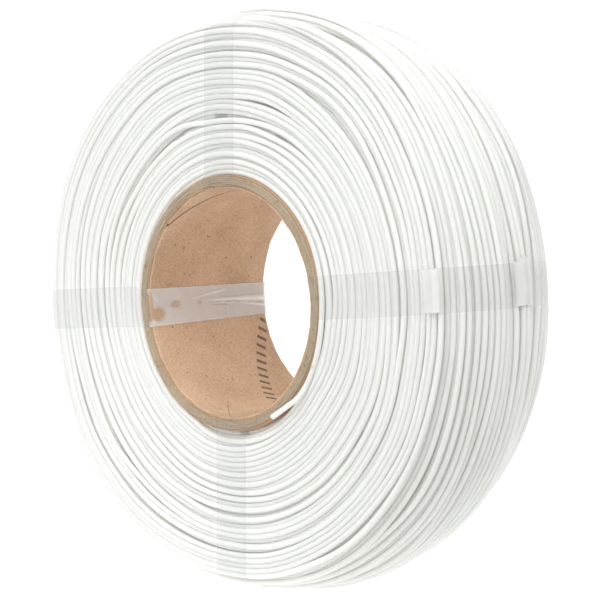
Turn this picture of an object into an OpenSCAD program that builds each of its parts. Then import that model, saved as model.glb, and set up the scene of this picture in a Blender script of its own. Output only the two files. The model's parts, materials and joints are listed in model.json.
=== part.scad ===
// Refill coil of 3D-printer filament: a spiral-wound paperboard core, the
// winding on it, and four straps of clear tape that hold the winding together.
// Millimetres. The origin is the centre of the core's bore, +Y runs along the
// bore and +Z is up, with the coil standing on its rim.

/* [Core] */
// Diameter of the bore
bore_d = 76.2; // [70:0.1:80]
// Thickness of the core's wall
core_wall = 4.4; // [3:0.1:6]
// Length of the core
core_length = 56.5; // [50:0.5:70]
// Plies of board in the core's wall
plies = 7; // [3:1:9]

/* [Winding] */
// Layers of filament on the core
layers = 35; // [20:1:40]
// Diameter of the filament
filament_d = 1.75; // [1.5:0.05:3]
// Diameter of the winding over its crown
winding_d = 199; // [180:1:210]
// Width of the winding
winding_w = 55.5; // [48:0.5:70]
// Width of the level band at the crown, on which the coil stands
crown_flat = 14; // [8:1:20]
// Drop of the crown from the level band to the shoulders
crown_drop = 6.6; // [2:0.1:9]
// How the drop gathers towards the shoulders: 1 is a straight cone
crown_power = 1.3; // [1:0.1:2]
// Radius of the shoulders
shoulder_r = 4; // [2:0.5:6]
// Length of the loose start of the filament, across the core's rim
tail_length = 18; // [10:0.5:30]
// Distance from the bore's axis to the cut end of that loose start
tail_r = 42.4; // [40:0.1:46]
// Where the cut end lies, round from +X towards +Z
tail_angle = -57.5; // [-90:0.5:0]
// Direction in which the loose start runs, round from +X towards +Z
tail_heading = 31; // [0:1:60]

/* [Tape] */
// Width of the straps
tape_w = 14; // [8:1:20]
// Thickness of the tape
tape_t = 0.15; // [0.05:0.05:0.3]
// How far out from the core the tape comes down onto the winding's face
tape_bridge = 3.5; // [1:0.5:8]

/* [Hidden] */
bore_r = bore_d / 2;
core_r = bore_r + core_wall;
core_end = core_length / 2;
ply_t = core_wall / plies;
crown_r = winding_d / 2;
face_end = winding_w / 2;
flat_end = crown_flat / 2;
big = winding_d;

// Each strap as [name, angle round from +X towards +Z, sideways shift]
STRAPS = [
    ["strap_right", 5.3, 0],
    ["strap_top", 90, 3.4],
    ["strap_left", 184.5, 0],
    ["strap_bottom", 270, 2.2]
];

// Radius of the winding's outside at a distance y from its middle
function shoulder(y) =
    let (past = max(0, abs(y) - (face_end - shoulder_r)))
    shoulder_r - sqrt(max(0, pow(shoulder_r, 2) - pow(past, 2)));
function slope(y) =
    let (share = max(0, abs(y) - flat_end) / (face_end - flat_end))
    crown_drop * pow(share, crown_power);
function outside(y) = crown_r - slope(y) - shoulder(y);

// Radius at a depth counted in layers from the core, at y: the layers share
// the crown, so each is a little more bowed than the one below it
function at_depth(y, depth) = core_r + (outside(y) - core_r) * depth / layers;

// The rounded end of a layer sticks out by half the layer's thickness there
end_round = (outside(face_end) - core_r) / layers / 2;
steps = 4;
half_ys = [for (i = [0:steps]) flat_end + (face_end - end_round - flat_end) * i / steps];
ys = concat([for (i = [steps:-1:0]) -half_ys[i]], half_ys);

function end_arc(k, side) = [
    for (turn = [45, 90, 135])
        let (y = side * (face_end - end_round + end_round * sin(turn)))
        [at_depth(y, k - 0.5 + side * 0.5 * cos(turn)), y]
];

// Section of layer k, as [radius, y]
function layer_section(k) = concat(
    [for (y = ys) [at_depth(y, k), y]],
    end_arc(k, 1),
    [for (i = [len(ys) - 1:-1:0]) [at_depth(ys[i], k - 1), ys[i]]],
    end_arc(k, -1)
);

// Section of the whole coil grown by t: what the tape is wrapped round
function half_wrap(t) = concat(
    [
        [bore_r - t, core_end + t],
        [core_r + t, core_end + t],
        [core_r + tape_bridge, face_end + t],
        [outside(face_end) + t / 2, face_end + t]
    ],
    [
        for (i = [3:-1:1])
            let (y = face_end - shoulder_r + shoulder_r * sin(90 * i / 4))
            [outside(y) + t, y + t * i / 4]
    ],
    [for (i = [steps - 1:-1:0]) [outside(half_ys[i]) + t, half_ys[i]]]
);
function wrap(t) = concat(
    half_wrap(t),
    [for (i = [len(half_wrap(t)) - 1:-1:0]) [half_wrap(t)[i][0], -half_wrap(t)[i][1]]]
);

function ply_name(i) =
    i == 1 ? "core_liner" : i == plies ? "core_outer_ply" : str("core_ply_", i);
function layer_name(k) = str("layer_", k < 10 ? "0" : "", k);

$fn = 96;

// Turns a section given as [radius, y] round the Y axis
module ring() {
    rotate([90, 0, 0]) rotate_extrude() children();
}

// One ply of the core, the first being the liner
module ply(i) {
    color(i == 1 ? "tan" : "burlywood")
        rotate([90, 0, 0])
            difference() {
                cylinder(r = bore_r + i * ply_t, h = core_length, center = true);
                cylinder(r = bore_r + (i - 1) * ply_t, h = core_length + 2, center = true);
            }
}

// One layer of side-by-side turns, from one face of the coil to the other
module layer(k) {
    color(k % 2 == 0 ? "whitesmoke" : "gainsboro")
        ring() polygon(layer_section(k));
}

// The cut start of the filament, lying straight across the edge of the core
module strand_start() {
    color("whitesmoke")
        translate([
            tail_r * cos(tail_angle), -core_end - filament_d / 2, tail_r * sin(tail_angle)
        ])
            rotate([0, 90 - tail_heading, 0])
                cylinder(d = filament_d, h = tail_length);
}

// One strap of tape, wrapped through the bore and over the winding
module strap(s) {
    color("lightsteelblue", 0.6)
        intersection() {
            ring() difference() {
                polygon(wrap(tape_t));
                polygon(wrap(0));
            }
            rotate([0, -s[1], 0])
                translate([0, -big / 2, s[2] - tape_w / 2])
                    cube([big, big, tape_w]);
        }
}

for (i = [1:plies])
    ply(i);
for (k = [1:layers])
    layer(k);
strand_start();
for (s = STRAPS)
    strap(s);
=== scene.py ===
import json
import math

import bpy
import numpy as np
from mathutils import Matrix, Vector


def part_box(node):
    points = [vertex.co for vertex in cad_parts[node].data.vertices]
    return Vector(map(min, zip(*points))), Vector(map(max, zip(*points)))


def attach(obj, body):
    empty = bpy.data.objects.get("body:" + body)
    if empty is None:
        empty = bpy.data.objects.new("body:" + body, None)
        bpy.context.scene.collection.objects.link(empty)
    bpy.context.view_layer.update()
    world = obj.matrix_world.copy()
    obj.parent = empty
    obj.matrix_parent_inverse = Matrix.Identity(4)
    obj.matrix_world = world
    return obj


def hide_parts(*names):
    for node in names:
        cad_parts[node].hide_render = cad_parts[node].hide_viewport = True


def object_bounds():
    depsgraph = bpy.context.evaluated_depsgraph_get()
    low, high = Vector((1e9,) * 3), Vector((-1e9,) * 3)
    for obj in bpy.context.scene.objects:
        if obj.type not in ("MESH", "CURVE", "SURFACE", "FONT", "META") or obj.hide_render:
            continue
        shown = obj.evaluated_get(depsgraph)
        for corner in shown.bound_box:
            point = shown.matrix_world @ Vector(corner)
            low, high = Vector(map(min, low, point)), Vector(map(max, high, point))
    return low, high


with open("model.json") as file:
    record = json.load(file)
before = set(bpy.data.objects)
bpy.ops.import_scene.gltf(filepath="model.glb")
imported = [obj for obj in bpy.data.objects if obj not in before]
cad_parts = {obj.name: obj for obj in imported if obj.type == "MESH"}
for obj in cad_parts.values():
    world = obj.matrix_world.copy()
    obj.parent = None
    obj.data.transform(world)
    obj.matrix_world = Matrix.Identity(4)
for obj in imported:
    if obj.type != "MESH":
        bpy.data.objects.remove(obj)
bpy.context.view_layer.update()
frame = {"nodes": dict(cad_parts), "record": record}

# Lengths in this script are millimetres until a mesh is written, and angles run
# from +X towards +Z, seen from the front face of the coil, which looks along -Y.
MM = 0.001

# ---------------------------------------------------------------- sizes from the frame


def high(node, axis):
    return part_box(node)[1][axis] / MM


record = frame["record"]
mounts = {m["name"]: m for m in record["mounts"]}
BORE_R = mounts["core_bore"]["dims"]["r_mm"]
CORE_R = high("core_outer_ply", 2)
CORE_END = high("core_outer_ply", 1)
PLIES = ["core_liner"] + [f"core_ply_{i}" for i in range(2, 7)] + ["core_outer_ply"]
LAYERS = sorted(n for n in frame["nodes"] if n.startswith("layer_"))
CROWN_R = high(LAYERS[-1], 2)
FACE_END = high(LAYERS[0], 1)

# The crown's shape, as the part's source has it
CROWN_FLAT = 7.0
CROWN_DROP = 6.6
CROWN_POWER = 1.3
SHOULDER_R = 4.0

STRAND_D = 1.75
STRAND_R = STRAND_D / 2
PRESSED_R = 0.92  # of a wound strand, flattened a little by its neighbours
TAPE_W = 14.0
TAPE_T = 0.06


def outside(y):
    """The radius that the winding reaches at y."""
    y = np.abs(y)
    past = np.maximum(0, y - (FACE_END - SHOULDER_R))
    shoulder = SHOULDER_R - np.sqrt(np.maximum(0, SHOULDER_R**2 - past**2))
    share = np.maximum(0, y - CROWN_FLAT) / (FACE_END - CROWN_FLAT)
    return CROWN_R - CROWN_DROP * share**CROWN_POWER - shoulder


# ---------------------------------------------------------------- mesh helpers


def piece(name, verts, faces, materials, node=(), smooth=True):
    """A mesh piece of the object, in metres, that stands for the CAD nodes named."""
    mesh = bpy.data.meshes.new(name)
    verts = np.asarray(verts, dtype=np.float64) * MM
    faces = np.asarray(faces, dtype=np.int32)
    mesh.vertices.add(len(verts))
    mesh.vertices.foreach_set("co", verts.astype(np.float32).ravel())
    mesh.loops.add(faces.size)
    mesh.loops.foreach_set("vertex_index", faces.ravel())
    mesh.polygons.add(len(faces))
    corners = faces.shape[1]
    mesh.polygons.foreach_set("loop_start", np.arange(len(faces), dtype=np.int32) * corners)
    mesh.polygons.foreach_set("loop_total", np.full(len(faces), corners, dtype=np.int32))
    mesh.update(calc_edges=True)
    mesh.validate()
    mesh.polygons.foreach_set("use_smooth", np.full(len(mesh.polygons), smooth))
    for material in materials:
        mesh.materials.append(material)
    obj = bpy.data.objects.new(name, mesh)
    bpy.context.scene.collection.objects.link(obj)
    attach(obj, "root")
    if node:
        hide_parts(*node)
    return obj


def grid_faces(rows, columns, wrap_rows=False, wrap_columns=False, start=0):
    """Quads over a grid of vertices stored row by row."""
    i = np.arange(rows if wrap_rows else rows - 1)[:, None]
    j = np.arange(columns if wrap_columns else columns - 1)[None, :]
    a = i * columns + j
    b = i * columns + (j + 1) % columns
    c = ((i + 1) % rows) * columns + (j + 1) % columns
    d = ((i + 1) % rows) * columns + j
    return np.stack([a, b, c, d], axis=-1).reshape(-1, 4) + start


def on_ring(angle, radius, y):
    """Points at an angle, radius and y, as an array of x, y, z."""
    return np.stack([radius * np.cos(angle), y + 0 * angle, radius * np.sin(angle)], axis=-1)


def noise(rng, count, reach):
    """Smooth noise of unit size over count samples, alike over about reach samples."""
    knots = rng.normal(0, 1, int(count / reach) + 4)
    at = np.arange(count) / reach
    low = at.astype(int)
    part = at - low
    ease = part * part * (3 - 2 * part)
    return knots[low] * (1 - ease) + knots[low + 1] * ease


# ---------------------------------------------------------------- the winding

SAMPLES = 144  # of the strand, in one turn
START_ANGLE = math.radians(-25)
PITCH = 2.35
CELL = 0.05
LIMIT = FACE_END - STRAND_R
CLIMB = 0.35  # most that the strand rises or falls from one sample to the next


def cell_of(y):
    return np.round((y + FACE_END) / CELL).astype(int)


def guide_path(rng, low_y, high_y, side):
    """Where the winder's guide puts the strand on one traverse, a y for each sample."""
    turns = int(round((high_y - low_y) / PITCH))
    gaps = np.clip(rng.normal(1, 0.22, turns), 0.5, 1.8)
    stops = np.concatenate([[0], np.cumsum(gaps)]) / gaps.sum()
    stops = low_y + (high_y - low_y) * (stops if side < 0 else 1 - stops)
    count = turns * SAMPLES + int(rng.integers(-50, 50))
    guide = np.interp(np.arange(count) / count * turns, np.arange(turns + 1), stops)
    soften = SAMPLES // 4
    padded = np.pad(guide, soften, mode="edge")
    guide = np.convolve(padded, np.ones(2 * soften + 1) / (2 * soften + 1), "valid")
    return np.clip(guide + 0.16 * noise(rng, count, SAMPLES / 5), -LIMIT, LIMIT)


def lay_winding(seed):
    """Lays the strand turn by turn on the core, as a winder does.

    Each sample settles near the place where the guide puts it, on top of what
    already lies there. Returns the y and radius of every sample, the sample at
    which each layer starts, and the winding's outside over angle and y.
    """
    rng = np.random.default_rng(seed)
    ys = np.arange(-FACE_END, FACE_END + CELL / 2, CELL)
    rest = np.full((SAMPLES, len(ys)), CORE_R + STRAND_R)
    spacing = STRAND_D * 0.985
    near = int(spacing / CELL)
    around = np.arange(-near, near + 1)
    lift = np.sqrt(spacing**2 - (around * CELL) ** 2)
    give = np.arange(-12, 13)
    ahead = np.arange(1, 15)
    ceiling = outside(ys) - STRAND_R
    middle = len(ys) // 2
    y_path, r_path, starts = [], [], [0]
    side = -1
    y_last, r_last = -LIMIT, CORE_R + STRAND_R
    while len(starts) <= len(LAYERS):
        room = rest.mean(0) <= ceiling + 0.15
        upper = middle if room[middle:].all() else int(np.argmin(room[middle:]))
        lower = middle if room[middle::-1].all() else int(np.argmin(room[middle::-1]))
        high_y = min(LIMIT, ys[min(middle + upper, len(ys)) - 1])
        low_y = max(-LIMIT, ys[max(middle - lower, 0)])
        guide = guide_path(rng, low_y, high_y, side)
        cells = cell_of(guide)
        first = starts[-1]
        for s in range(len(guide)):
            column = rest[(first + s) % SAMPLES]
            seats = np.clip(cells[s] + give, near, len(ys) - 1 - near)
            off_guide = (ys[seats] - guide[s]) ** 2
            off_last = (ys[seats] - y_last) ** 2
            seat = seats[int(np.argmin(column[seats] + 1.2 * off_guide + 6 * off_last))]
            y_last = ys[seat]
            coming = rest[(first + s + ahead) % SAMPLES, cells[np.minimum(s + ahead, len(guide) - 1)]]
            soon = min((coming - CLIMB * ahead).max(), r_last + CLIMB)
            r_last = min(max(column[seat], r_last - CLIMB, soon), ceiling[seat])
            y_path.append(y_last)
            r_path.append(r_last)
            column[seat + around] = np.maximum(column[seat + around], r_last + lift)
        starts.append(first + len(guide))
        side = -side
    return np.array(y_path), np.array(r_path), starts, rest - STRAND_R


def relax(path, reach=2.0):
    """Smooths a path a little, as the strand's stiffness does."""
    taps = np.arange(-6, 7)
    weights = np.exp(-0.5 * (taps / reach) ** 2)
    return np.convolve(np.pad(path, 6, mode="edge"), weights / weights.sum(), "valid")


def tube(centres, sides, radius):
    """Vertices and quads of a tube along points, closed at both ends."""
    step = np.gradient(centres, axis=0)
    step /= np.linalg.norm(step, axis=1)[:, None]
    out = np.cross(step, np.array([0.0, 1.0, 0.0]))
    out /= np.linalg.norm(out, axis=1)[:, None]
    up = np.cross(out, step)
    turn = np.linspace(0, 2 * math.pi, sides, endpoint=False)
    ring = np.cos(turn)[None, :, None] * out[:, None] + np.sin(turn)[None, :, None] * up[:, None]
    verts = (centres[:, None] + radius * ring).reshape(-1, 3)
    faces = grid_faces(len(centres), sides, wrap_columns=True)
    last = (len(centres) - 1) * sides
    fans = [[0, i, i + 1, i + 2] for i in range(1, sides - 2, 2)]
    caps = [[last + k for k in reversed(fan)] for fan in fans]
    return verts, np.concatenate([faces, np.array(fans + caps)])


def runs(mask):
    """(start, end) of each stretch where mask is true."""
    edges = np.flatnonzero(np.diff(np.concatenate([[0], mask.astype(int), [0]])))
    return list(zip(edges[::2], edges[1::2], strict=True))


def join(parts):
    """Joins (vertices, faces) pairs into one."""
    offsets = np.cumsum([0] + [len(v) for v, _ in parts])
    faces = [f + offset for (_, f), offset in zip(parts, offsets, strict=False)]
    return np.concatenate([v for v, _ in parts]), np.concatenate(faces)


def stretch_mesh(centres, shows, first, end):
    """The strand from sample first to end: fine where it shows, coarse where it's covered."""
    parts = []
    for fine, sides, stride in ((True, 10, 1), (False, 6, 3)):
        for a, b in runs(shows[first:end] == fine):
            a, b = max(first + a - 1, 0), min(first + b + 1, len(centres) - 1)
            picks = np.append(np.arange(a, b, stride), b)
            if len(picks) > 2:
                parts.append(tube(centres[picks], sides, PRESSED_R))
    return join(parts)


# ---------------------------------------------------------------- materials


def new_material(name):
    material = bpy.data.materials.new(name)
    material.use_nodes = True
    nodes = material.node_tree.nodes
    return material, nodes, material.node_tree.links, nodes["Principled BSDF"]


def noise_node(nodes, links, scale, detail, stretch=(1, 1, 1)):
    """Noise over the object's own coordinates, in repeats per metre."""
    where = nodes.new("ShaderNodeTexCoord")
    mapping = nodes.new("ShaderNodeMapping")
    mapping.inputs["Scale"].default_value = stretch
    texture = nodes.new("ShaderNodeTexNoise")
    texture.inputs["Scale"].default_value = scale
    texture.inputs["Detail"].default_value = detail
    links.new(where.outputs["Object"], mapping.inputs["Vector"])
    links.new(mapping.outputs["Vector"], texture.inputs["Vector"])
    return texture.outputs["Fac"]


def ramp(nodes, links, value, stops):
    """A colour ramp through (place, colour) stops."""
    node = nodes.new("ShaderNodeValToRGB")
    while len(node.color_ramp.elements) < len(stops):
        node.color_ramp.elements.new(0.5)
    for element, (place, colour) in zip(node.color_ramp.elements, stops, strict=True):
        element.position = place
        element.color = (*colour, 1.0)
    links.new(value, node.inputs["Fac"])
    return node.outputs["Color"]


def mix(nodes, links, factor, a, b):
    """Blends two colours, each a socket or a plain colour, by a number or a socket."""
    node = nodes.new("ShaderNodeMix")
    node.data_type = "RGBA"
    for socket, value in (("Factor", factor), ("A", a), ("B", b)):
        if isinstance(value, bpy.types.NodeSocket):
            links.new(value, node.inputs[socket])
        elif isinstance(value, tuple):
            node.inputs[socket].default_value = (*value, 1.0)
        else:
            node.inputs[socket].default_value = value
    return node.outputs["Result"]


def maths(nodes, links, operation, a, b=0.0):
    """One arithmetic step on two sockets or numbers."""
    node = nodes.new("ShaderNodeMath")
    node.operation = operation
    for socket, value in zip(node.inputs, (a, b)):
        if isinstance(value, bpy.types.NodeSocket):
            links.new(value, socket)
        else:
            socket.default_value = value
    return node.outputs["Value"]


def between(nodes, links, value, low, high_value):
    """1 where value lies between two limits, else 0."""
    above = maths(nodes, links, "GREATER_THAN", value, low)
    return maths(nodes, links, "MULTIPLY", above, maths(nodes, links, "LESS_THAN", value, high_value))


def bump(nodes, links, height, distance, strength, normal=None):
    node = nodes.new("ShaderNodeBump")
    node.inputs["Distance"].default_value = distance
    node.inputs["Strength"].default_value = strength
    links.new(height, node.inputs["Height"])
    if normal:
        links.new(normal, node.inputs["Normal"])
    return node.outputs["Normal"]


def to_range(nodes, links, value, low, high_value):
    node = nodes.new("ShaderNodeMapRange")
    node.inputs["To Min"].default_value = low
    node.inputs["To Max"].default_value = high_value
    links.new(value, node.inputs["Value"])
    return node.outputs["Result"]


def filament_material():
    material, nodes, links, shader = new_material("filament_white")
    cloud = noise_node(nodes, links, 60, 3)
    links.new(
        ramp(nodes, links, cloud, [(0.3, (0.832, 0.842, 0.80)), (0.7, (0.856, 0.864, 0.826))]),
        shader.inputs["Base Color"],
    )
    grain = noise_node(nodes, links, 700, 2)
    links.new(to_range(nodes, links, grain, 0.46, 0.6), shader.inputs["Roughness"])
    links.new(bump(nodes, links, grain, 0.00002, 0.2), shader.inputs["Normal"])
    shader.inputs["IOR"].default_value = 1.46
    shader.inputs["Specular IOR Level"].default_value = 0.35
    # Painted light: a little glow lifts the shade in the grooves between the strands, standing for the light that they
    # carry between them
    shader.inputs["Emission Color"].default_value = (0.97, 0.98, 0.94, 1)
    shader.inputs["Emission Strength"].default_value = 0.05
    shader.inputs["Subsurface Weight"].default_value = 0.8
    shader.inputs["Subsurface Radius"].default_value = (1.0, 1.0, 0.9)
    shader.inputs["Subsurface Scale"].default_value = 0.003
    return material


def board_material(name, dark, light, fleck):
    """Recycled board: soft clouds of tone, short fibres and dark flecks."""
    material, nodes, links, shader = new_material(name)
    cloud = noise_node(nodes, links, 70, 5)
    speck = noise_node(nodes, links, 1300, 3)
    flecks = noise_node(nodes, links, 700, 1)
    tone = mix(nodes, links, 0.5, ramp(nodes, links, cloud, [(0.35, dark), (0.65, light)]),
               ramp(nodes, links, speck, [(0.42, dark), (0.58, light)]))
    tone = mix(nodes, links, ramp(nodes, links, flecks, [(0.24, (1, 1, 1)), (0.30, (0, 0, 0))]), tone, fleck)
    links.new(tone, shader.inputs["Base Color"])
    links.new(to_range(nodes, links, speck, 0.8, 0.95), shader.inputs["Roughness"])
    links.new(bump(nodes, links, speck, 0.00012, 0.5), shader.inputs["Normal"])
    shader.inputs["Specular IOR Level"].default_value = 0.25
    return material, nodes, links, shader, tone


def tape_material():
    """Clear film, whiter and more opaque by an attribute that is low where it is stuck down, high where air is behind
    it, and high too where a highlight is painted on a fold or bend.
    """
    material, nodes, links, shader = new_material("clear_tape")
    haze_and_highlight = nodes.new("ShaderNodeAttribute")
    haze_and_highlight.attribute_name = "haze_and_highlight"
    cloud = noise_node(nodes, links, 160, 4)
    uneven = maths(nodes, links, "MULTIPLY", haze_and_highlight.outputs["Fac"], to_range(nodes, links, cloud, 0.8, 1.2))
    links.new(uneven, shader.inputs["Alpha"])
    tones = [(0.05, (0.42, 0.43, 0.425)), (0.15, (0.9, 0.88, 0.865)), (0.8, (0.98, 0.98, 0.97))]
    links.new(ramp(nodes, links, haze_and_highlight.outputs["Fac"], tones), shader.inputs["Base Color"])
    ripple = noise_node(nodes, links, 260, 2)
    links.new(to_range(nodes, links, ripple, 0.1, 0.25), shader.inputs["Roughness"])
    links.new(bump(nodes, links, ripple, 0.0001, 0.3), shader.inputs["Normal"])
    shader.inputs["IOR"].default_value = 1.47
    return material


def liner_material():
    """Kraft paper with painted shade along the seam's gap, a scratch and a row of plain ink bars."""
    material, nodes, links, shader, tone = board_material(
        "kraft_liner", (0.56, 0.38, 0.25), (0.76, 0.55, 0.39), (0.36, 0.22, 0.13)
    )
    where = nodes.new("ShaderNodeTexCoord")
    parts = nodes.new("ShaderNodeSeparateXYZ")
    links.new(where.outputs["Object"], parts.inputs["Vector"])
    x, y, z = (parts.outputs[axis] for axis in "XYZ")
    turn = maths(nodes, links, "ARCTAN2", z, x)

    # Painted shade: a dark line along the spiral seam stands for the shade in the gap between the ply's edges
    along = maths(nodes, links, "MULTIPLY", maths(nodes, links, "ADD", y, CORE_END * MM), SEAM_TURN / MM)
    phase = maths(nodes, links, "SUBTRACT", maths(nodes, links, "ADD", turn, along), LINER_SEAM)
    off_seam = maths(nodes, links, "ABSOLUTE", maths(nodes, links, "SINE", maths(nodes, links, "MULTIPLY", phase, 0.5)))
    seam = maths(nodes, links, "LESS_THAN", off_seam, 0.008)
    tone = mix(nodes, links, maths(nodes, links, "MULTIPLY", seam, 0.85), tone, (0.07, 0.045, 0.03))

    # The bars stand in a row that runs with the seam
    row = maths(nodes, links, "SUBTRACT", maths(nodes, links, "ADD", turn, along), math.radians(344))
    off_row = maths(nodes, links, "ABSOLUTE", maths(nodes, links, "SINE", maths(nodes, links, "MULTIPLY", row, 0.5)))
    bars = maths(nodes, links, "LESS_THAN", off_row, 0.055)
    run = maths(nodes, links, "SUBTRACT", maths(nodes, links, "MULTIPLY", turn, 0.0333), maths(nodes, links, "MULTIPLY", y, 0.485))
    step = maths(nodes, links, "FRACT", maths(nodes, links, "MULTIPLY", run, 1 / 0.0036))
    bars = maths(nodes, links, "MULTIPLY", bars, maths(nodes, links, "LESS_THAN", step, 0.36))
    bars = maths(nodes, links, "MULTIPLY", bars, between(nodes, links, y, 0.005, 0.0265))
    worn = noise_node(nodes, links, 1100, 2)
    ink = maths(nodes, links, "MULTIPLY", bars, to_range(nodes, links, worn, 0.45, 1.1))
    tone = mix(nodes, links, maths(nodes, links, "MINIMUM", ink, 0.9), tone, (0.12, 0.085, 0.065))

    drift = maths(nodes, links, "MULTIPLY", maths(nodes, links, "ADD", y, 0.0122), math.radians(1.72) / MM)
    aside = maths(nodes, links, "ABSOLUTE", maths(nodes, links, "ADD", maths(nodes, links, "ADD", turn, drift), 1.988))
    scratch = maths(nodes, links, "LESS_THAN", aside, 0.006)
    scratch = maths(nodes, links, "MULTIPLY", scratch, between(nodes, links, y, -0.0255, -0.0125))
    tone = mix(nodes, links, maths(nodes, links, "MULTIPLY", scratch, 0.45), tone, (0.12, 0.08, 0.06))
    links.new(tone, shader.inputs["Base Color"])
    return material


SEAM_LEAD = 133.0  # axial advance of a ply's seam in one turn round the core
SEAM_TURN = 2 * math.pi / SEAM_LEAD
LINER_SEAM = math.radians(142)  # where the liner's seam meets the front end
FILAMENT = filament_material()
LINER = liner_material()
KRAFT = board_material("kraft_ply", (0.45, 0.29, 0.18), (0.56, 0.37, 0.24), (0.36, 0.22, 0.14))[0]
BOARD = board_material("grey_board", (0.40, 0.32, 0.23), (0.50, 0.41, 0.30), (0.30, 0.22, 0.15))[0]
TAPE = tape_material()

# ---------------------------------------------------------------- winding pieces

def bulge(angle, radius):
    """How far the first turns stand out from the front face, past the core's end."""
    off = (angle - math.radians(-5) + math.pi) % (2 * math.pi) - math.pi
    return 1.6 * np.exp(-((off / math.radians(27)) ** 2)) * np.exp(-(((radius - CORE_R) / 4.0) ** 2))


def squeeze(angle, radius):
    """How much the four straps pull the winding in, and let it out between them."""
    share = (radius - CORE_R) / (CROWN_R - CORE_R)
    return radius - 1.0 * share**2 * np.cos(4 * (angle - math.radians(2.5)))


def buried_cuts(starts, depth):
    """Where each layer's piece starts: moved from the turn to where the strand lies deepest."""
    cuts = [0]
    for first in starts[1:-1]:
        span = np.arange(max(first - 5 * SAMPLES, cuts[-1] + SAMPLES), first + 6 * SAMPLES)
        cover = np.min([depth[span + i] for i in range(-9, 10, 3)], axis=0)
        cuts.append(int(span[np.argmax(np.minimum(cover, 4))]))
    return cuts + [under_tape(starts[-1] - SAMPLES)]


def under_tape(sample):
    """The next sample that lies under the middle of the right strap."""
    at_strap = round(math.radians(5.3) / (2 * math.pi) * SAMPLES - START_ANGLE / (2 * math.pi) * SAMPLES)
    return sample + (at_strap - sample) % SAMPLES


y_path, r_path, starts, surface = lay_winding(seed=3)
y_path, r_path = relax(y_path), relax(r_path)
sample = np.arange(len(y_path))
turn = START_ANGLE + 2 * math.pi * sample / SAMPLES
depth = surface[sample % SAMPLES, cell_of(y_path)] - r_path
shows = (depth < 3.2) | (np.abs(y_path) > LIMIT - 2.6)
shows = np.convolve(shows, np.ones(9), "same") > 0
for a, b in runs(~shows):
    if b - a < 24:
        shows[a:b] = True
near_front = np.clip((-y_path - 18) / (LIMIT - 18), 0, 1)
strand = on_ring(turn, squeeze(turn, r_path), y_path - bulge(turn, r_path) * near_front)
cuts = buried_cuts(starts, depth)
for name, first, end in zip(LAYERS, cuts[:-1], cuts[1:], strict=True):
    verts, faces = stretch_mesh(strand, shows, first, end)
    piece("wound_" + name, verts, faces, [FILAMENT], [name])
length_m = np.linalg.norm(np.diff(strand, axis=0), axis=1).sum() * MM
print("strand length m", round(float(length_m), 1), "turns", round(len(strand) / SAMPLES, 1))

# The cut start of the strand: straight across the core's end, then down beside
# the core into the first turn
TAIL_ANGLE = math.radians(-57.5)
TAIL_HEADING = math.radians(31)
TAIL_STRAIGHT = 11.0


def bezier(a, b, c, d, count):
    t = np.linspace(0, 1, count)[:, None]
    return (1 - t) ** 3 * a + 3 * t * (1 - t) ** 2 * b + 3 * t**2 * (1 - t) * c + t**3 * d


def strand_start():
    cut = on_ring(np.array([TAIL_ANGLE]), 42.4, -CORE_END - STRAND_R + 0.02)[0]
    heading = np.array([math.cos(TAIL_HEADING), 0.0, math.sin(TAIL_HEADING)])
    bend = cut + TAIL_STRAIGHT * heading
    join_at = strand[0]
    along = strand[1] - strand[0]
    along = along / np.linalg.norm(along)
    reach = np.linalg.norm(join_at - bend) / 3
    curve = bezier(bend, bend + reach * heading, join_at - reach * along, join_at + along, 24)
    straight = cut + np.linspace(0, TAIL_STRAIGHT, 10)[:-1, None] * heading
    verts, faces = tube(np.concatenate([straight, curve]), 16, STRAND_R)
    piece("strand_start_tail", verts, faces, [FILAMENT], ["strand_start"])


strand_start()

# ---------------------------------------------------------------- core pieces

PLY_T = (CORE_R - BORE_R) / len(PLIES)

SETBACKS = [0.75, 0.35, 0.05, 0.0, 0.0, 0.1, 0.6]  # of each ply's ends: the wall's ends are rounded


def ply_mesh(index, rng):
    """One spiral ply: a tube whose ends are rough; the liner's grid leans with its seam."""
    columns, rows = 300, 80 if index == 0 else 8
    inner = BORE_R + index * PLY_T
    outer = inner + PLY_T * 0.99
    seam = LINER_SEAM + index * 2.4
    lean = -SEAM_TURN if index == 0 else 0.0
    spread = np.linspace(-1, 1, columns, endpoint=False)
    turn = seam + math.pi * np.sign(spread) * np.abs(spread) ** 1.6
    rough = 0.12 * noise(rng, columns, 5) + 0.07 * noise(rng, columns, 1.5)
    rough[-6:] = np.linspace(rough[-6], rough[0], 6)
    ends = CORE_END - SETBACKS[index] - 0.2 + np.clip(rough, -0.4, 0.2)
    share = np.linspace(-1, 1, rows)
    gap = np.exp(-0.5 * ((turn - seam) / math.radians(0.45)) ** 2)
    wave = 0.04 * np.abs(noise(rng, columns, 18))
    wave[-18:] = np.linspace(wave[-18], wave[0], 18)
    rings = []

    def ring(radius, y_share, pull=0.0):
        y = y_share * (ends - pull)
        lean_from = -CORE_END
        angle = turn + lean * (y - lean_from)
        rings.append(on_ring(angle, radius, y))

    for k in share:
        ring(inner + (0.3 * gap + wave * (1 - k * k) if index == 0 else 0.0) + 0 * turn, k, 0.06)
    ring(inner + 0.25 * PLY_T + 0 * turn, 1.0)
    ring(inner + 0.85 * PLY_T + 0 * turn, 1.0)
    for k in share[::-1]:
        ring(outer + 0 * turn, k, 0.08)
    ring(inner + 0.85 * PLY_T + 0 * turn, -1.0)
    ring(inner + 0.25 * PLY_T + 0 * turn, -1.0)
    verts = np.concatenate(rings)
    return verts, grid_faces(len(rings), columns, wrap_rows=True, wrap_columns=True)[:, ::-1]


ply_rng = np.random.default_rng(11)
skins = [LINER, KRAFT, BOARD, BOARD, BOARD, BOARD, KRAFT]
for index, node in enumerate(PLIES):
    verts, faces = ply_mesh(index, ply_rng)
    piece("spiral_" + node, verts, faces, [skins[index]], [node])

# ---------------------------------------------------------------- tape pieces

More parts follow.
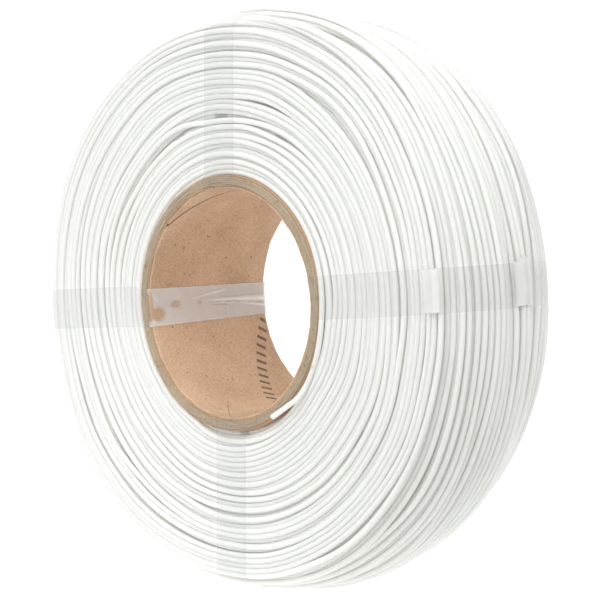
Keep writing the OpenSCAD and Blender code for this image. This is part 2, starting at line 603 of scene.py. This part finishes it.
STRAPS = {  # angle in degrees, sideways shift in mm
    "strap_right": (5.3, 0.0),
    "strap_top": (90.0, 3.4),
    "strap_left": (184.5, 0.0),
    "strap_bottom": (270.0, 2.2),
}
BRIDGE = 3.5
FILM_GAP = 0.04
ACROSS = 41


def film_over_winding(angle, ys):
    """Radius of taut film over the strands at an angle, at each y."""
    middle = int(round((angle - START_ANGLE) / (2 * math.pi) * SAMPLES))
    columns = [(middle + i) % SAMPLES for i in range(-2, 3)]
    top = surface[columns].max(0)
    reach = int(1.4 / CELL)
    highest = np.array([top[max(i - reach, 0) : i + reach + 1].max() for i in range(len(top))])
    taps = np.arange(-40, 41)
    weights = np.exp(-0.5 * (taps * CELL / 0.7) ** 2)
    soft = np.convolve(np.pad(highest, 40, mode="edge"), weights / weights.sum(), "valid")
    return squeeze(angle, np.minimum(soft[cell_of(ys)] + FILM_GAP, outside(ys) + 0.02))


def film_section(angle):
    """The closed line that a strap follows round the coil's section, as (radius, y)."""
    ys = np.linspace(-LIMIT + 0.5, LIMIT - 0.5, 90)
    over = np.stack([film_over_winding(angle, ys), ys], axis=1)
    face, rim = FACE_END + FILM_GAP, CORE_END + FILM_GAP
    back = [(over[-1, 0] - 1.2, face), (CORE_R + BRIDGE, face), (CORE_R, rim), (BORE_R - FILM_GAP, rim)]
    front = [(r, -y) for r, y in reversed(back)]
    stand = [float(bulge(angle, np.array(r))) for r in (CORE_R + BRIDGE, CORE_R + 7, CORE_R + 11)]
    front[-2:] = [
        (CORE_R + 2.0, -face - stand[0] * 0.98),
        (CORE_R + BRIDGE, -face - stand[0]),
        (CORE_R + 7, -face - stand[1]),
        (CORE_R + 11, -face - stand[2]),
        front[-1],
    ]
    line = np.concatenate([over, back, front, over[:1]])
    steps = np.concatenate([[0], np.cumsum(np.linalg.norm(np.diff(line, axis=0), axis=1))])
    fine = np.arange(0, steps[-1], 0.2)
    dense = np.stack([np.interp(fine, steps, line[:, i]) for i in (0, 1)], axis=1)
    taps = np.arange(-6, 7)
    weights = np.exp(-0.5 * (taps / 2.0) ** 2)
    weights /= weights.sum()
    smooth = np.stack(
        [np.convolve(np.pad(dense[:, i], 6, mode="wrap"), weights, "valid") for i in (0, 1)], axis=1
    )
    return smooth[::2]


def tent(y, v, start, end, width0, width1, height):
    """A fold that runs from start to end, both (y, v), and widens on the way."""
    start, end = np.array(start), np.array(end)
    run = end - start
    length = np.linalg.norm(run)
    run = run / length
    along = ((y - start[0]) * run[0] + (v - start[1]) * run[1]) / length
    aside = -(y - start[0]) * run[1] + (v - start[1]) * run[0]
    width = width0 + (width1 - width0) * np.clip(along, 0, 1)
    rise = np.clip(along * 4, 0, 1) * (along < 1.2)
    return height * rise * np.clip(1 - np.abs(aside) / width, 0, 1)


def spot(y, v, centre, half_y, half_v):
    """1 inside an oval, falling to 0 at its soft edge."""
    far = np.sqrt(((y - centre[0]) / half_y) ** 2 + ((v - centre[1]) / half_v) ** 2)
    return np.clip((1.25 - far) / 0.5, 0, 1)


def bore_wrinkles(y, v):
    """(lift, whiteness) of the loose film of the left strap inside the bore: milky where air is behind it, with painted
    highlights along the folds.
    """
    folds = [
        ((-7.7, -2.1), (5.5, -4.6), 0.45, 0.6, 0.35),
        ((-3.8, -1.1), (30, -0.6), 0.3, 1.5, 0.9),
        ((1.0, 0.2), (30, 1.5), 0.25, 0.5, 0.45),
        ((15.5, 1.2), (30, 3.3), 0.3, 0.8, 0.7),
        ((9.3, 0.8), (8.6, 6.9), 0.3, 0.3, 0.25),
        ((-26.5, -4.6), (-24.6, -2.2), 0.4, 0.4, 0.3),
        ((-27.4, 4.2), (-25.4, 6.6), 0.4, 0.4, 0.3),
    ]
    lift = sum(tent(y, v, *fold) for fold in folds)
    stuck = np.maximum(spot(y, v, (-24.4, 2.6), 3.4, 2.6), 0.8 * spot(y, v, (-15.7, -0.5), 2.3, 1.5))
    stuck = np.maximum(stuck, 0.8 * spot(y, v, (-4.4, -0.5), 0.8, 0.7))
    stuck = np.maximum(stuck, spot(y, v, (-27.9, 0.0), 1.8, 5.8))
    stuck = np.maximum(stuck, 0.6 * wedge(y, v, (1.0, 0.9), (9.5, 1.4), 0.25, 0.35))
    stuck = np.maximum(stuck, 0.75 * wedge(y, v, (4.0, 0.0), (30, 1.75), 0.15, 0.3))
    # Painted highlight: whiter strips along the folds, where light glints off the film; lifted film is also milky from
    # the air behind it
    lift_and_painted_highlight = np.maximum(wedge(y, v, (-3.8, -1.2), (30, -0.3), 0.1, 1.6), wedge(y, v, (15.5, 1.4), (30, 3.5), 0.1, 0.7))
    lift_and_painted_highlight = np.maximum(lift_and_painted_highlight, wedge(y, v, (-7.7, -2.1), (5.5, -4.6), 0.15, 0.3))
    lift_and_painted_highlight = np.maximum(lift_and_painted_highlight, np.clip(lift / 0.4, 0, 1))
    edges = np.clip((np.abs(v) - 6.6) / 0.3, 0, 1)
    haze_and_highlight = 0.5 + 0.4 * lift_and_painted_highlight + 0.2 * edges
    return 0.04 + (lift + 0.06) * (1 - stuck), haze_and_highlight * (1 - stuck) + 0.05 * stuck


def wedge(y, v, start, end, width0, width1):
    """1 inside a strip that runs from start to end, both (y, v), and widens on the way."""
    along = np.clip((y - start[0]) / (end[0] - start[0]), 0, 1)
    middle = start[1] + (end[1] - start[1]) * along
    inside = np.clip((width0 + (width1 - width0) * along - np.abs(v - middle)) / 0.25, 0, 1)
    return inside * (y > start[0]) * (y < end[0])


def sheet(frame_at, line, normal, v, lift, haze_and_highlight, wrap):
    """A closed film over a grid: rows along line, columns across at v. Gives verts, faces and each vertex's whiteness:
    milkiness and painted highlight.
    """
    rows, columns = lift.shape
    parts = []
    for thickness in (0.0, TAPE_T):
        r = line[:, :1] + normal[:, :1] * (lift + thickness)
        y = line[:, 1:] + normal[:, 1:] * (lift + thickness)
        parts.append(frame_at(r, y, v))
    upper = rows * columns
    under = grid_faces(rows, columns, wrap_rows=wrap)[:, ::-1]
    over = grid_faces(rows, columns, wrap_rows=wrap, start=upper)
    sides = []
    i = np.arange(rows if wrap else rows - 1) * columns
    j = (np.arange(len(i)) + 1) % rows * columns
    sides.append(np.stack([i, j, j + upper, i + upper], axis=1))
    i, j = i + columns - 1, j + columns - 1
    sides.append(np.stack([i, i + upper, j + upper, j], axis=1))
    if not wrap:
        i = np.arange(columns - 1)
        sides.append(np.stack([i, i + upper, i + 1 + upper, i + 1], axis=1))
        i = i + (rows - 1) * columns
        sides.append(np.stack([i, i + 1, i + 1 + upper, i + upper], axis=1))
    return np.concatenate(parts), np.concatenate([under, over, *sides]), np.tile(haze_and_highlight.ravel(), 2)


def strap(name, rng):
    angle, shift = STRAPS[name]
    angle = math.radians(angle)
    radial = np.array([math.cos(angle), 0, math.sin(angle)])
    sideways = np.array([-math.sin(angle), 0, math.cos(angle)])
    forward = np.array([0.0, 1.0, 0.0])

    def frame_at(r, y, v):
        offset = v + shift + 0 * r
        reach = np.sqrt(r**2 - offset**2)
        points = reach[..., None] * radial + offset[..., None] * sideways + y[..., None] * forward
        return points.reshape(-1, 3)

    line = film_section(angle)
    rows = len(line)
    tangent = np.roll(line, -1, axis=0) - np.roll(line, 1, axis=0)
    tangent /= np.linalg.norm(tangent, axis=1)[:, None]
    normal = np.stack([tangent[:, 1], -tangent[:, 0]], axis=1)
    r_line, y_line = line[:, :1], line[:, 1:]
    v = np.linspace(-TAPE_W / 2, TAPE_W / 2, ACROSS)[None] + 0 * r_line
    in_bore = np.clip((BORE_R + 0.8 - r_line) / 0.8, 0, 1)
    lift = 0.01 * (1 + np.sin(v * 1.3 + 6 * noise(rng, rows, 80)[:, None]))
    haze_and_highlight = 0.04 + 0.005 * noise(rng, rows, 18)[:, None] + 0 * v
    if name == "strap_left":
        loose, loose_haze_and_highlight = bore_wrinkles(y_line + 0 * v, v)
        inside = in_bore * np.clip((CORE_END - 0.3 - np.abs(y_line)) / 1.5, 0, 1)
        lift = lift * (1 - inside) + loose * inside
        haze_and_highlight = haze_and_highlight * (1 - in_bore) + loose_haze_and_highlight * in_bore
        back = np.clip((y_line + CORE_END) / (2 * CORE_END), 0, 1)
        into = np.clip((CORE_R + BRIDGE - r_line) / BRIDGE, 0, 1)
        low_edge, high_edge = -5.85 + 0.25 * back, 7.2 - 1.55 * back
        bunched = low_edge + (high_edge - low_edge) * (v / TAPE_W + 0.5)
        v = v * (1 - into) + bunched * into
    if name == "strap_right":
        # Painted highlight: the film is whiter where it bends over the front corner, partly from the air behind it
        # there
        corner_haze_and_highlight = np.clip(1.6 - np.abs(y_line + 27.1) / 0.7, 0, 1) * np.clip((r_line - 86.5) / 0.5, 0, 1)
        haze_and_highlight = haze_and_highlight + 0.75 * corner_haze_and_highlight * (v > -6.4)
        haze_and_highlight = haze_and_highlight + 0.12 * np.clip((y_line - 10) / 2, 0, 1) * (r_line > CORE_R + 20)
    films = [sheet(frame_at, line, normal, v, lift, np.clip(haze_and_highlight, 0.05, 0.97), True)]
    if name == "strap_right":
        tab = np.flatnonzero((r_line[:, 0] > CORE_R + 20) & (line[:, 1] > 3.0) & (line[:, 1] < 11.2))
        tilt = math.radians(3) * (line[tab, 1:] - 7)
        step = 0.9 * (line[tab, 1:] > 6.3)
        v_tab = v[tab] + 0.7 + tilt + step * (v[tab] / TAPE_W + 0.5)
        haze_tab = 0.82 + 0.08 * noise(rng, len(tab), 5)[:, None] + 0 * v_tab
        films.append(sheet(frame_at, line[tab], normal[tab], v_tab, lift[tab] + TAPE_T, haze_tab, False))
    verts, faces = join([film[:2] for film in films])
    obj = piece("tape_" + name, verts, faces, [TAPE], [name])
    attribute = obj.data.attributes.new("haze_and_highlight", "FLOAT", "POINT")
    values = np.concatenate([film[2] for film in films])
    attribute.data.foreach_set("value", values.astype(np.float32))


tape_rng = np.random.default_rng(5)
for name in STRAPS:
    strap(name, tape_rng)

# ---------------------------------------------------------------- stage, light, camera


def stage_floor():
    """A pale floor that glows faintly behind the coil, like the wall beyond it."""
    size = 3.0
    mesh = bpy.data.meshes.new("floor")
    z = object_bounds()[0][2]
    corners = [(-size, -size, z), (size, -size, z), (size, size, z), (-size, size, z)]
    mesh.from_pydata(corners, [], [(0, 1, 2, 3)])
    floor = bpy.data.objects.new("floor", mesh)
    bpy.context.scene.collection.objects.link(floor)
    material, nodes, links, shader = new_material("pale_floor")
    shader.inputs["Base Color"].default_value = (0.55, 0.55, 0.55, 1)
    shader.inputs["Roughness"].default_value = 0.9
    shader.inputs["Specular IOR Level"].default_value = 0.1
    shader.inputs["Emission Color"].default_value = (1, 1, 1, 1)
    where = nodes.new("ShaderNodeTexCoord")
    behind = nodes.new("ShaderNodeVectorMath")
    behind.operation = "DOT_PRODUCT"
    behind.inputs[1].default_value = (-0.7, 0.7, 0)
    links.new(where.outputs["Object"], behind.inputs[0])
    glow = nodes.new("ShaderNodeMapRange")
    for socket, value in (("From Min", -0.12), ("From Max", 0.0), ("To Min", 0.1), ("To Max", 0.8)):
        glow.inputs[socket].default_value = value
    links.new(behind.outputs["Value"], glow.inputs["Value"])
    links.new(glow.outputs["Result"], shader.inputs["Emission Strength"])
    mesh.materials.append(material)


def area_light(name, place, size, power):
    data = bpy.data.lights.new(name, "AREA")
    data.shape = "DISK"
    data.size = size
    data.energy = power
    light = bpy.data.objects.new(name, data)
    light.location = place
    light.rotation_euler = (-Vector(place)).to_track_quat("-Z", "Y").to_euler()
    bpy.context.scene.collection.objects.link(light)


def set_camera():
    azimuth, elevation = math.radians(44.59), math.radians(4.25)
    distance = 0.7707
    data = bpy.data.cameras.new("camera")
    data.sensor_width = 36
    data.lens = 136.2
    data.shift_x = 0.0245
    data.shift_y = -0.002
    data.clip_start = 0.01
    camera = bpy.data.objects.new("camera", data)
    back = (
        math.sin(azimuth) * math.cos(elevation),
        -math.cos(azimuth) * math.cos(elevation),
        math.sin(elevation),
    )
    camera.location = [distance * b for b in back]
    camera.rotation_euler = (math.pi / 2 - elevation, 0, azimuth)
    bpy.context.scene.collection.objects.link(camera)
    bpy.context.scene.camera = camera


def studio():
    """A white room: the wall behind the coil is brighter than the rest."""
    world = bpy.data.worlds.new("studio")
    world.use_nodes = True
    nodes, links = world.node_tree.nodes, world.node_tree.links
    where = nodes.new("ShaderNodeTexCoord")
    wall = nodes.new("ShaderNodeVectorMath")
    wall.operation = "DOT_PRODUCT"
    wall.inputs[1].default_value = (-0.7, 0.7, 0)
    links.new(where.outputs["Generated"], wall.inputs[0])
    strength = nodes.new("ShaderNodeMapRange")
    for socket, value in (("From Min", 0.5), ("From Max", 0.85), ("To Min", ROOM_LIGHT), ("To Max", 1.08)):
        strength.inputs[socket].default_value = value
    links.new(wall.outputs["Value"], strength.inputs["Value"])
    links.new(strength.outputs["Result"], nodes["Background"].inputs["Strength"])
    nodes["Background"].inputs["Color"].default_value = (1, 1, 1, 1)
    return world


ROOM_LIGHT = 0.60
stage_floor()
bpy.context.scene.world = studio()
area_light("key", (0.35, -0.9, 1.1), 1.3, 13)
area_light("top", (0.3, 0.0, 1.5), 0.8, 3.5)
bpy.context.scene.view_settings.view_transform = "Standard"
set_camera()
